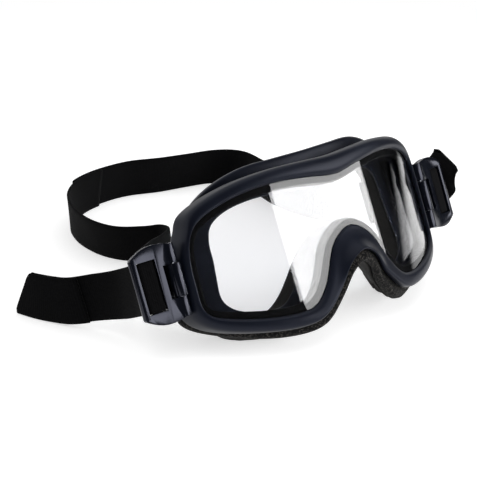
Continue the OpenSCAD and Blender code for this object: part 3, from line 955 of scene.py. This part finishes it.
    def cut_vents(self, obj: bpy.types.Object) -> None:
        """Cut the vent slots through the wall between the lens and the groove.

        Args:
            obj: The frame.
        """
        mid = self.rim_d + self.groove_len / 2
        spots = [(s * (k + 0.5) * self.vent_pitch, self.outline.top + 2 - 0.3 * k, 0.0)
                 for s in (-1, 1) for k in range(3)]
        spots += [(s * (self.low_vent_x + self.vent_pitch * k),
                   self.low_vent_rise * k - self.outline.low - 2.2, s * self.low_vent_turn)
                  for s in (-1, 1) for k in range(2)]
        bm = bmesh.new()
        for x, z, turn in spots:
            y = float(self.deep(np.array([x]), np.array([mid]))[0])
            turned = Matrix.Rotation(math.radians(-turn), 4, "Y")
            for vert in bmesh.ops.create_cube(bm, size=1.0)["verts"]:
                corner = Vector([c * size for c, size in zip(vert.co, self.vent)])
                spot = turned @ corner + Vector((x, y, z))
                vert.co = Vector(STAND.leaning(np.array([spot]))[0])
        bmesh.ops.bevel(bm, geom=list(bm.edges), offset=self.vent_round * MM,
                        offset_type="OFFSET", affect="EDGES", segments=3, profile=0.5,
                        material=-1)
        bmesh.ops.recalc_face_normals(bm, faces=bm.faces)
        cutter = new_object("vent_cutter", bm)
        cut = obj.modifiers.new("vents", "BOOLEAN")
        cut.operation, cut.object, cut.solver = "DIFFERENCE", cutter, "EXACT"
        settle(obj)
        bpy.data.objects.remove(cutter)
        for face in obj.data.polygons:
            face.use_smooth = True

    def lens(self, name: str, d0: float, d1: float, node: str,
             finish: Finish) -> bpy.types.Object:
        """Build one wrapped lens sheet.

        Args:
            name: The piece's name.
            d0: Depth of its front face.
            d1: Depth of its back face.
            node: The CAD node that it stands for.
            finish: Its finish.

        Returns:
            The lens.
        """
        edge = self.outline.around(self.outline.get("opening", self.margin))[:, :2]
        half = edge[:len(edge) // 2 + 1]
        widest = int(half[:, 0].argmax())
        upper, lower = half[:widest + 1], half[widest:][::-1]
        cols, rows = self.lens_grid
        x = half[widest, 0] * np.sin(np.linspace(-math.pi / 2, math.pi / 2, cols + 1))
        high = np.interp(np.abs(x), upper[:, 0], upper[:, 1]) + self.tip
        low = np.interp(np.abs(x), lower[:, 0], lower[:, 1]) - self.tip
        bm = bmesh.new()
        for d in (d0, d1):
            y = self.lens_y(x, np.full_like(x, d))
            grid = bmesh.ops.create_grid(bm, x_segments=cols, y_segments=rows, size=0.5)
            for vert in grid["verts"]:
                i, v = round((vert.co.x + 0.5) * cols), vert.co.y + 0.5
                spot = np.array([x[i], y[i], low[i] + (high[i] - low[i]) * v])
                vert.co = Vector(STAND.leaning(spot)[0])
        sheets = list(bm.faces)
        rim = [e for e in bm.edges if e.is_boundary]
        bmesh.ops.bridge_loops(bm, edges=rim)
        bmesh.ops.recalc_face_normals(bm, faces=bm.faces)
        for face in sheets:
            face.smooth = True
        for edge in rim:
            edge.smooth = False
        obj = new_object(name, bm)
        return dress(obj, finish, self.body, [node])

    def spacer(self) -> bpy.types.Object:
        """Build the black gasket between the lenses, glued to the outer one.

        Returns:
            The gasket.
        """
        o = self.outline
        front, back = self.lens_t - self.glued, self.lens_t + self.gap - self.fit
        inner = o.get("opening", self.margin - self.spacer_w)
        outer = o.get("opening", self.margin - self.fit)
        rings = rounded([self.rail(inner, front), self.rail(outer, front),
                         self.rail(outer, back), self.rail(inner, back)], [0.4, 0.2, 0.2, 0.4])
        obj = skin("lens_gasket", rings, STAND.leaning, levels=1)
        return dress(obj, Finish.SPACER, self.body, ["lens_spacer"])

    def filters(self) -> list[bpy.types.Object]:
        """Build the two strips of open-cell foam in the vent groove.

        Returns:
            The upper strip and the lower one.
        """
        o, steps = self.outline, self.outline.steps
        d0, d1 = self.rim_d + self.seat, self.flange_d - self.seat
        inner, outer = o.get("rim", 0.2 - self.groove), o.get("rim", -1.1)
        whole = 2 * (len(inner) - 1) * steps
        top = [self.rail(inner, d0), self.rail(outer, d0 + 0.5), self.rail(outer, d1 - 0.5),
               self.rail(inner, d1)]
        half = round(self.brow_strip * steps)
        pick = np.arange(-half, half + 1) % whole
        upper = skin("brow_filter_foam", rounded([r[pick] for r in top], [0.2, 0.6, 0.6, 0.2]),
                     STAND.leaning, wrap=False, levels=1)
        d1 += 0.2
        strip, inset = o.get("filter"), o.get("filter", -1.2)
        low = [self.rail(inner, d0, nose=self.groove_front),
               self.rail(inset, d0, nose=self.strip_front),
               self.rail(strip, d0 + 1.4, nose=self.strip_front),
               self.rail(strip, d1 - 1.2, nose=self.strip_back),
               self.rail(inset, d1, nose=self.strip_back),
               self.rail(inner, d1, nose=self.flange_shift)]
        pick = np.arange(self.low_strip[0] * steps, self.low_strip[1] * steps + 1) % whole
        lower = skin("lower_filter_foam", rounded([r[pick] for r in low],
                                                  [0.2, 0.5, 0.4, 0.4, 0.5, 0.2]),
                     STAND.leaning, wrap=False, levels=2)
        pieces = [dress(upper, Finish.FILTER, self.body, ["vent_filter_top"]),
                  dress(lower, Finish.FILTER, self.body, ["vent_filter_bottom"])]
        return pieces

    def foam(self) -> list[bpy.types.Object]:
        """Build the face foam and its fabric facing.

        Returns:
            The foam and the facing.
        """
        o, low, nose = self.outline, self.thinner, -self.relief
        d0, back = self.foam_d, self.face_d - self.facing - self.seat
        wrap = -self.low_flange_t
        # Corners of the section, down its outer side to the face and back up the inner one
        rows = [(self.rail(o.get("foam_step"), d0, low, self.flange_shift), 0.3),
                (self.rail(o.get("foam_front", -0.7), d0, low, self.strip_back, wrap=wrap), 0.3),
                (self.rail(o.get("foam_front"), d0 + 1.5, low, self.strip_back, wrap=wrap), 0.7),
                (self.rail(o.get("foam_back"), back - 4, nose=nose), 1.2),
                (self.rail(o.get("foam_back", -1.2), back - 1.2, nose=nose), 0.7),
                (self.rail(o.get("foam_back", -2.6), back, nose=nose), 0.4),
                (self.rail(o.get("eye", 2.2), back, nose=nose), 0.4),
                (self.rail(o.get("eye", 1), back - 2.5, nose=nose), 0.8),
                (self.rail(o.get("eye", 1), d0, low, self.web_shift), 0.5)]
        rings = rounded([r for r, _ in rows], [r for _, r in rows])
        pad = skin("face_foam_pad", rings, STAND.leaning, levels=2, flat=0.0)
        dress(pad, Finish.FOAM, self.body, ["face_foam"])
        out, inner = o.get("foam_back", -2.6), o.get("eye", 2.2)
        front = self.face_d - self.facing
        rings = rounded([self.rail(out, front, nose=nose), self.rail(out, self.face_d, nose=nose),
                         self.rail(inner, self.face_d, nose=nose),
                         self.rail(inner, front, nose=nose)], [0.2, 0.5, 0.5, 0.2])
        facing = skin("foam_facing", rings, STAND.leaning, levels=2, flat=0.0)
        return [pad, dress(facing, Finish.LINING, self.body, ["face_lining"])]

    def build(self) -> None:
        """Build every piece of the goggles' own body."""
        self.shell()
        self.lens("outer_lens_sheet", 0.0, self.lens_t, "outer_lens", Finish.LENS)
        back = self.lens_t + self.gap
        self.lens("inner_lens_sheet", back, back + self.inner_t, "inner_lens", Finish.COATED)
        self.spacer()
        self.filters()
        self.foam()


@dataclass
class Outriggers:
    """Hinge bases, pins and strap outriggers, rounded from their CAD forms."""

    rounding: float = 0.45
    pin_rounding: float = 0.25

    def build(self) -> None:
        """Build the pieces of both sides."""
        for side in ("left", "right"):
            arm = soften(from_node(f"outrigger_{side}", f"{side}_strap_outrigger"), self.rounding)
            dress(arm, Finish.NYLON, f"{side}_outrigger", [f"outrigger_{side}"])
            base = soften(from_node(f"hinge_base_{side}", f"{side}_hinge_foot"), self.rounding)
            dress(base, Finish.NYLON, "goggles", [f"hinge_base_{side}"])
            pin = soften(from_node(f"hinge_pin_{side}", f"{side}_hinge_wire"), self.pin_rounding)
            dress(pin, Finish.PIN, f"{side}_outrigger", [f"hinge_pin_{side}"])


@dataclass
class HeadStrap:
    """Elastic webbing: two straps sewn together at the back, with loose tails.

    Sizes are in millimetres and degrees. A station of a route is x, y, z and roll, measured
    from the table, and a height of 0 rests the webbing's edge on the table. The lap runs
    between two stations of the whole loop, and the hem is measured from the tail's end.
    A bend is a pair of points beside an outrigger, in metres.
    """

    width: float = 25.0
    thick: float = 1.5
    # Hinge axis in the goggles' own frame, the outrigger's turn and its slots
    hinge: tuple[float, float, float] = (85.6, 33.2, -1.7)
    sweep: float = 14.0
    slots: tuple[float, float] = (10.0, 17.4)
    # Where the wrap stops behind the bar
    wrap_end: float = 4.0
    # Stations of the sewn lap at the back, and samples between two stations
    lap: tuple[float, float] = (13, 14.5)
    steps: int = 8
    # Hem of the left tail, the tail's station spacing and its slanted cut
    hem: float = 38.5
    tail_pitch: float = 11.0
    slant: float = 10.6
    # Faces across half the width, and the rounding of a cut corner
    edge_steps: int = 5
    cut_round: float = 2.2
    # Wrap round the bar: bend, front of the bar, clearance and overlap
    bar_round: float = 1.0
    bar_front: float = 0.4
    bar_gap: float = 0.1
    overlap: float = 0.4
    # Where a strap starts behind the wrap's end
    slot_exit: float = 0.9
    # Pairs of points beside the outriggers, one pair for each strap, in metres
    left_bend: tuple[Point, Point] = ((-0.096, -0.061, 0.04), (-0.096, 0.002, 0.04))
    right_bend: tuple[Point, Point] = ((0.0925, -0.061, 0.04), (0.0925, 0.011, 0.04))
    tail_bend: tuple[Point, Point] = ((-0.102, -0.061, 0.035), (-0.102, 0.002, 0.035))

    # Route of the loop, then those of the two tails
    route: tuple[tuple[float, ...], ...] = (
        (-90.2, 49.5, 29.6, 0), (-80, 67, 26.2, 0), (-62, 82, 22.5, 0), (-45, 92, 19, -3),
        (-32.4, 101.6, 16.5, -8), (-28.8, 113, 14.5, -14), (-34.3, 123.4, 12.8, -18),
        (-43.2, 134.4, 0, -20), (-47.9, 147.2, 0, -18), (-48, 161.2, 0, -14),
        (-44.8, 176.6, 0, -8), (-37.7, 191.5, 0, -2), (-26, 203, 0, 3), (-10.3, 210, 0, 8),
        (6.7, 212.4, 0, 11), (21.7, 211, 0, 12), (38.9, 204.2, 0, 13), (56, 199.8, 0, 15),
        (71.4, 195.3, 0, 15), (81.7, 187, 0, 13), (85, 175, 0, 8), (82, 158, 0, 3),
        (79.5, 138, 0, 0), (81, 115, 13.2, 0), (85, 92, 16, 0), (89.4, 72, 21.2, 0),
        (92.6, 52, 28.4, 0))
    left_tail: tuple[tuple[float, ...], ...] = (
        (-98.8, 47, 30, 0), (-97.5, 61, 23, 0), (-101, 74, 18.2, 0), (-108, 86.4, 14.2, 0),
        (-112, 95.3, 13, 0), (-116.5, 106.3, 12.6, 0), (-120.1, 118.8, 12.6, 0))
    right_tail: tuple[tuple[float, ...], ...] = (
        (102.2, 42.6, 33, 0), (110.1, 47.6, 31.7, -20), (116.3, 48.3, 34.8, -39),
        (119.8, 44.4, 48.7, -50))

    def slot_place(self, side: int, u: float) -> tuple[float, ...]:
        """Find where the strap leaves a slot of an outrigger.

        Args:
            side: -1 for the left outrigger and 1 for the right one.
            u: The slot's distance from the hinge along the outrigger.

        Returns:
            A station of a route.
        """
        a = math.radians(self.sweep)
        n = self.wrap_end + self.slot_exit
        x = self.hinge[0] + u * math.cos(a) - n * math.sin(a)
        y = self.hinge[1] + u * math.sin(a) + n * math.cos(a)
        lean, z = math.radians(STAND.lean), self.hinge[2]
        return (side * x, y * math.cos(lean) + z * math.sin(lean),
                STAND.height - y * math.sin(lean) + z * math.cos(lean), 0.0)

    def path(self, stations: Sequence[tuple[float, ...]]) -> np.ndarray:
        """Sample a route.

        Args:
            stations: Its stations.

        Returns:
            Smooth samples as x, y, z and roll.
        """
        rows = np.array(stations, float)
        roll = np.radians(rows[:, 3])
        rest = self.width / 2 * np.cos(roll) + self.thick / 2 * np.abs(np.sin(roll))
        rows[:, 2] = np.where(rows[:, 2] == 0, rest, rows[:, 2])
        return catmull(rows, self.steps, closed=False)

    def section(self) -> list[tuple[float, float]]:
        """Go once round the webbing's section, which has rounded woven edges.

        Returns:
            Each corner's place across the width and through the thickness.
        """
        h, w = self.thick / 2, self.width / 2
        bend = [(math.cos(a), math.sin(a)) for a in np.linspace(-math.pi / 2, math.pi / 2, 5)]
        flat = list(np.linspace(-1, 1, 2 * self.edge_steps + 1))[1:-1]
        ring = [(w - h + h * c, h * s) for c, s in bend]
        ring += [(-f * (w - h), h) for f in flat]
        ring += [(-(w - h) - h * c, -h * s) for c, s in bend]
        ring += [(f * (w - h), -h) for f in flat]
        return ring

    def band(self, name: str, path: np.ndarray, shift: float | np.ndarray = 0.0,
             slant: float = 0.0, cut_end: bool = False) -> bpy.types.Object:
        """Build a length of webbing with woven edges.

        Args:
            name: The piece's name.
            path: Samples of its middle line as x, y, z and roll.
            shift: How far it lies to one side of that line.
            slant: How far the upper edge of the last end is cut back.
            cut_end: Whether the last end is cut free, with rounded corners.

        Returns:
            The webbing.
        """
        mid, roll = path[:, :3], np.radians(path[:, 3])[:, None]
        t = np.gradient(mid, axis=0)
        t /= np.linalg.norm(t, axis=1)[:, None]
        across = np.cross(t, [0, 0, 1.0])
        across /= np.linalg.norm(across, axis=1)[:, None]
        up = np.cross(across, t) * np.cos(roll) + across * np.sin(roll)
        face = np.cross(t, up)
        count = len(path)
        shifts = np.broadcast_to(np.asarray(shift, float), (count,))[:, None]
        near_end = np.maximum(0, 1 - np.arange(count - 1, -1, -1) / (3 * self.steps)) ** 3
        w = self.width / 2
        rings = []
        for a, b in self.section():
            cut = slant * near_end * (a / w + 1) / 2
            if cut_end:
                cut = cut + self.cut_round * (abs(a) / w) ** 10 * near_end ** 4
            rings.append(mid + up * a + face * (b + shifts) - t * cut[:, None])
        grid = np.array(rings)
        grid[:, :, 2] = np.maximum(grid[:, :, 2], 0.0)
        return skin(name, grid, STAND.lying, wrap=False)

    def around_bar(self, side: int, name: str) -> bpy.types.Object:
        """Build the stretch of strap that passes round an outrigger's bar.

        Args:
            side: -1 for the left outrigger and 1 for the right one.
            name: The piece's name.

        Returns:
            The webbing.
        """
        a = math.radians(self.sweep)
        n_front = -self.bar_front - self.thick / 2 - self.bar_gap
        n_back = self.wrap_end + self.overlap
        r = self.bar_round
        u0, u1 = self.slots
        turn0 = [(u0 + r - r * math.cos(k), n_front + r - r * math.sin(k))
                 for k in np.linspace(0, math.pi / 2, 6)]
        turn1 = [(u1 - r + r * math.sin(k), n_front + r - r * math.cos(k))
                 for k in np.linspace(0, math.pi / 2, 6)]
        flat_path = np.array([(u0, n) for n in np.linspace(n_back, n_front + r, 5)[:-1]] + turn0
                             + [(u, n_front) for u in np.linspace(u0 + r, u1 - r, 8)[1:-1]]
                             + turn1 + [(u1, n) for n in np.linspace(n_front + r, n_back, 5)[1:]])
        t = np.gradient(flat_path, axis=0)
        t /= np.linalg.norm(t, axis=1)[:, None]
        normal = np.stack([t[:, 1], -t[:, 0]], 1)
        rings = []
        for v, off in self.section():
            p = flat_path + normal * off
            x = self.hinge[0] + p[:, 0] * math.cos(a) - p[:, 1] * math.sin(a)
            y = self.hinge[1] + p[:, 0] * math.sin(a) + p[:, 1] * math.cos(a)
            rings.append(np.stack([side * x, y, np.full(len(x), v + self.hinge[2])], 1))
        return skin(name, np.array(rings), STAND.leaning, wrap=False)

    def build(self) -> None:
        """Build both straps, their tails and the hem."""
        s, (lap_start, lap_end), (inner, outer) = self.steps, self.lap, self.slots
        loop = self.path([self.slot_place(-1, inner), *self.route, self.slot_place(1, inner)])
        over = self.thick + self.bar_gap
        first = loop[:round(lap_end * s) + 1]
        f = np.clip((np.arange(len(first)) - (lap_start * s - 3 * s)) / (3 * s), 0, 1)
        piece = self.band("left_head_strap", first, over * f * f * (3 - 2 * f))
        dress(piece, Finish.STRAP, ("left_outrigger", "goggles", *map(Vector, self.left_bend)),
              ["strap_side_left", "strap_back_left"])
        piece = self.band("right_head_strap", loop[round(lap_start * s):])
        dress(piece, Finish.STRAP, ("right_outrigger", "goggles", *map(Vector, self.right_bend)),
              ["strap_side_right", "strap_back_right"])
        tail = self.path([self.slot_place(-1, outer), *self.left_tail])
        swing = ("left_outrigger", "goggles", *map(Vector, self.tail_bend))
        piece = self.band("left_strap_tail", tail, slant=self.slant, cut_end=True)
        dress(piece, Finish.STRAP, swing, ["strap_tail_left"])
        hem = tail[-1 - round(self.hem / self.tail_pitch * s):]
        piece = self.band("left_strap_hem", hem, shift=-over, slant=self.slant, cut_end=True)
        dress(piece, Finish.STRAP, swing, ["strap_hem_left"])
        tail = self.path([self.slot_place(1, outer), *self.right_tail])
        piece = self.band("right_strap_tail", tail, cut_end=True)
        dress(piece, Finish.STRAP, "right_outrigger", ["strap_tail_right"])
        for side, word in ((-1, "left"), (1, "right")):
            piece = self.around_bar(side, f"{word}_strap_wrap")
            dress(piece, Finish.STRAP, f"{word}_outrigger", [f"strap_wrap_{word}"])


# Studio

@dataclass(frozen=True)
class Softbox:
    """One softbox that faces the goggles.

    It hangs distance metres away, azimuth degrees from the front towards the right
    outrigger and elevation degrees above the table. A radiance of 1 shows it as white.
    """

    name: str
    azimuth: float
    elevation: float
    distance: float
    size: tuple[float, float]
    radiance: float
    aim: Point = (0.0, -0.06, 0.04)

    def hang(self) -> None:
        """Put the lamp in the scene."""
        data = bpy.data.lights.new(self.name, "AREA")
        data.shape, data.size, data.size_y = "RECTANGLE", *self.size
        data.energy = self.radiance * math.pi * self.size[0] * self.size[1]
        lamp = bpy.data.objects.new(self.name, data)
        bpy.context.scene.collection.objects.link(lamp)
        a, e = math.radians(self.azimuth), math.radians(self.elevation)
        out = Vector((math.sin(a) * math.cos(e), -math.cos(a) * math.cos(e), math.sin(e)))
        lamp.matrix_world = (Matrix.Translation(Vector(self.aim) + out * self.distance)
                             @ out.to_track_quat("Z", "Y").to_matrix().to_4x4())


@dataclass
class Studio:
    """White table, softboxes and the camera of the photo, in metres.

    The ambient light is the room's own, and the lift is what the table glows by, so that
    it shows white. The table fades to unlit white between the two distances of fade.
    """

    eye: tuple[float, float, float] = (-0.51092, -0.61681, 0.3509)
    look: tuple[float, float, float] = (0.5966, 0.7025, -0.3879)
    lens_mm: float = 119.2
    sensor_mm: float = 36.0
    clip: tuple[float, float] = (0.01, 50.0)
    ambient: float = 0.5
    wall: tuple[float, float] = (0.02, 1.0)
    lift: float = 0.58
    table_half: float = 6.0
    fade: tuple[float, float] = (0.3, 0.6)
    paper: str = "#e6e6e6"
    boxes: tuple[Softbox, ...] = (Softbox("key_softbox", 32, 17, 1.5, (1.69, 0.64), 5.5),
                                  Softbox("top_softbox", 0, 85, 1.3, (1.4, 1.0), 1.0))

    def camera(self) -> None:
        """Set the camera where the photo was taken from."""
        data = bpy.data.cameras.new("camera")
        data.lens, data.sensor_width = self.lens_mm, self.sensor_mm
        data.clip_start, data.clip_end = self.clip
        cam = bpy.data.objects.new("camera", data)
        bpy.context.scene.collection.objects.link(cam)
        ahead = Vector(self.look).normalized()
        side = ahead.cross(Vector((0, 0, 1))).normalized()
        rise = side.cross(ahead)
        turn = Matrix((side, rise, -ahead)).transposed().to_4x4()
        cam.matrix_world = Matrix.Translation(Vector(self.eye)) @ turn
        bpy.context.scene.camera = cam

    @staticmethod
    def rays(tree: bpy.types.NodeTree) -> tuple[bpy.types.NodeSocket, bpy.types.NodeSocket]:
        """Tell rays that see straight out, also through glass, from mirrored ones.

        Args:
            tree: The node tree that asks.

        Returns:
            A socket that is 1 for rays from the camera and through the lenses, and one
            that is 1 for rays that a glossy surface or a lens face has turned back.
        """
        light = add(tree, "ShaderNodeLightPath")
        turned = add(tree, "ShaderNodeMath", operation="GREATER_THAN",
                     i0=light.outputs["Glossy Depth"], i1=0.5)
        plain = add(tree, "ShaderNodeMath", operation="SUBTRACT",
                    i0=light.outputs["Is Transmission Ray"], i1=turned.outputs["Value"],
                    use_clamp=True)
        direct = add(tree, "ShaderNodeMath", operation="MAXIMUM",
                     i0=light.outputs["Is Camera Ray"], i1=plain.outputs["Value"])
        back = add(tree, "ShaderNodeMath", operation="MULTIPLY",
                   i0=light.outputs["Is Transmission Ray"], i1=turned.outputs["Value"])
        mirrored = add(tree, "ShaderNodeMath", operation="MAXIMUM",
                       i0=light.outputs["Is Glossy Ray"], i1=back.outputs["Value"])
        return direct.outputs["Value"], mirrored.outputs["Value"]

    def world(self) -> None:
        """Light the room evenly, and mirror a white wall behind and a dark one in front."""
        world = bpy.data.worlds.new("room")
        bpy.context.scene.world = world
        world.use_nodes = True
        tree = world.node_tree
        tree.nodes.clear()
        direct, mirrored = self.rays(tree)
        way = add(tree, "ShaderNodeTexCoord").outputs["Generated"]
        parts = add(tree, "ShaderNodeSeparateXYZ", Vector=way)
        wall = add(tree, "ShaderNodeMapRange", Value=parts.outputs["Y"], From_Min=0.05,
                   From_Max=0.35, To_Min=self.wall[0], To_Max=self.wall[1])
        shiny = add(tree, "ShaderNodeMix", data_type="FLOAT", Factor=mirrored,
                    i2=self.ambient, i3=wall.outputs["Result"])
        power = add(tree, "ShaderNodeMix", data_type="FLOAT", Factor=direct,
                    i2=shiny.outputs["Result"], i3=1.0)
        back = add(tree, "ShaderNodeBackground", Color=(1, 1, 1, 1),
                   Strength=power.outputs["Result"])
        out = add(tree, "ShaderNodeOutputWorld")
        tree.links.new(back.outputs["Background"], out.inputs["Surface"])

    def table(self) -> None:
        """Lay the white table: white where no shadow falls, and unlit farther away."""
        bm = bmesh.new()
        bmesh.ops.create_grid(bm, x_segments=1, y_segments=1, size=self.table_half)
        top = new_object("table", bm)
        material, tree, out = blank("white_paper")
        direct, mirrored = self.rays(tree)
        place = add(tree, "ShaderNodeTexCoord").outputs["Object"]
        away = add(tree, "ShaderNodeVectorMath", operation="LENGTH", i0=place)
        beyond = add(tree, "ShaderNodeMapRange", Value=away.outputs["Value"],
                     From_Min=self.fade[0], From_Max=self.fade[1],
                     interpolation_type="SMOOTHSTEP")
        seen = add(tree, "ShaderNodeMath", operation="MAXIMUM", i0=direct, i1=mirrored)
        lift = add(tree, "ShaderNodeMath", operation="MULTIPLY", i0=seen.outputs["Value"],
                   i1=self.lift)
        paper = add(tree, "ShaderNodeBsdfDiffuse", Color=linear(self.paper))
        glow = add(tree, "ShaderNodeEmission", Color=(1, 1, 1, 1), Strength=lift.outputs["Value"])
        near = add(tree, "ShaderNodeAddShader", i0=paper.outputs["BSDF"],
                   i1=glow.outputs["Emission"])
        far = add(tree, "ShaderNodeEmission", Color=(1, 1, 1, 1), Strength=direct)
        both = add(tree, "ShaderNodeMixShader", Fac=beyond.outputs["Result"],
                   i1=near.outputs["Shader"], i2=far.outputs["Emission"])
        tree.links.new(both.outputs["Shader"], out.inputs["Surface"])
        top.data.materials.append(material)

    def build(self) -> None:
        """Set up the whole studio."""
        self.camera()
        self.world()
        self.table()
        for box in self.boxes:
            box.hang()
        bpy.context.scene.view_settings.view_transform = "Standard"


def main() -> None:
    """Build the goggles piece by piece."""
    logging.basicConfig(level=logging.INFO, format="%(name)s: %(message)s")
    Studio().build()
    Goggles().build()
    Outriggers().build()
    HeadStrap().build()


if __name__ == "__main__":
    main()
